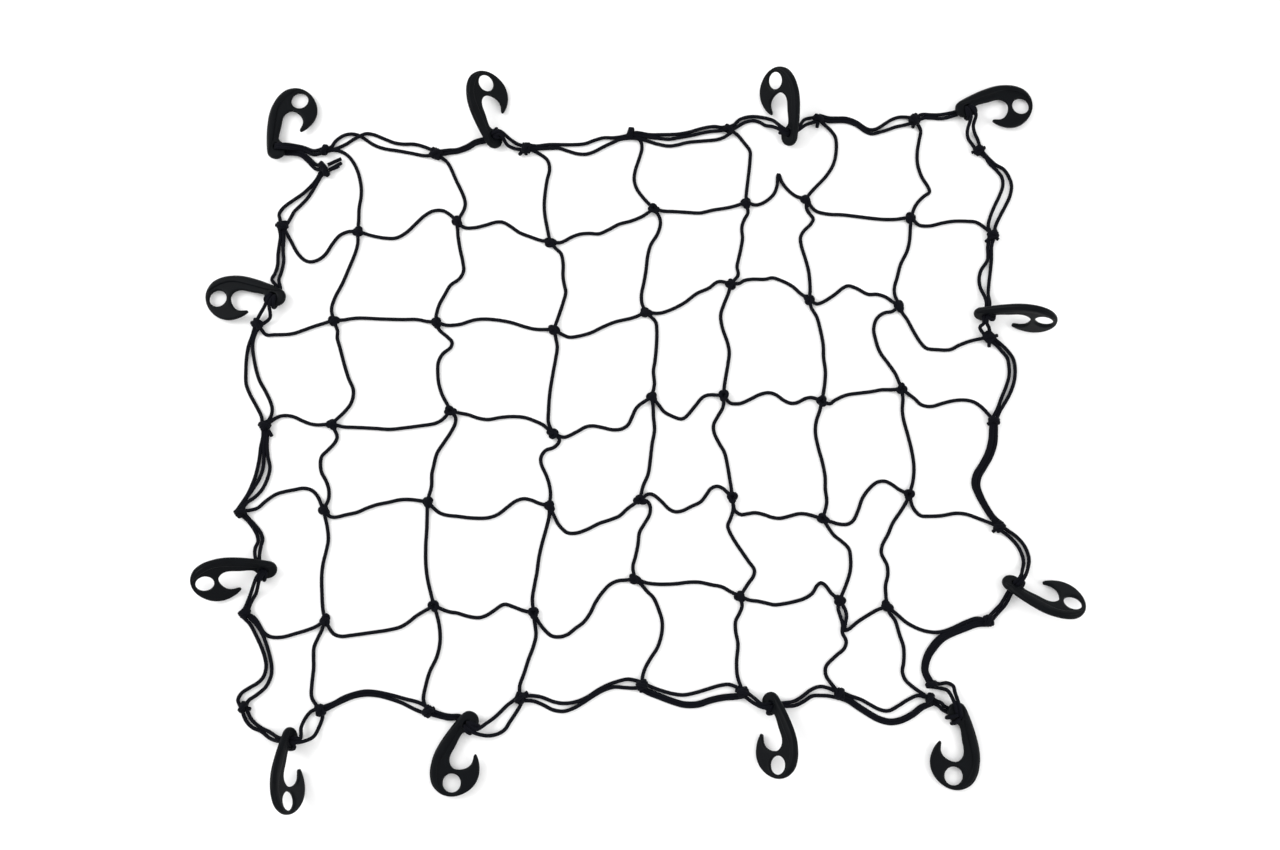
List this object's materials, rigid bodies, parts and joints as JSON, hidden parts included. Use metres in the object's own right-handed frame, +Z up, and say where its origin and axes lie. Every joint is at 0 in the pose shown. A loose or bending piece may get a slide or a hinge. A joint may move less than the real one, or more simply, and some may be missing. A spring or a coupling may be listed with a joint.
{
  "type": "cargo net",
  "caption": "Elastic cargo net laid flat: knotted inner cords, a doubled border cord and moulded plastic hooks round the edge that hold luggage to a rack.",
  "frame": {"origin": "middle of the laid-out net on the surface it lies on: centre of the bounding box at its bottom", "axes": "+X along the long side, +Y along the short side towards the picture's top, +Z up from the surface"},
  "size_m": [0.8703, 0.7479, 0.0454],
  "materials": {
    "cord_sheath": "matte woven polyester sheath over rubber strands, black",
    "border_sheath": "matte woven polyester sheath over rubber strands, black",
    "hook_plastic": "satin moulded plastic, black"
  },
  "bodies": {
    "root": {"mesh": "cord_sheath", "border": "border_sheath", "hook_1": "hook_plastic", "hook_2": "hook_plastic", "hook_3": "hook_plastic", "hook_4": "hook_plastic", "hook_5": "hook_plastic", "hook_6": "hook_plastic", "hook_7": "hook_plastic", "hook_8": "hook_plastic", "hook_9": "hook_plastic", "hook_10": "hook_plastic", "hook_11": "hook_plastic", "hook_12": "hook_plastic"}
  },
  "joints": []
}
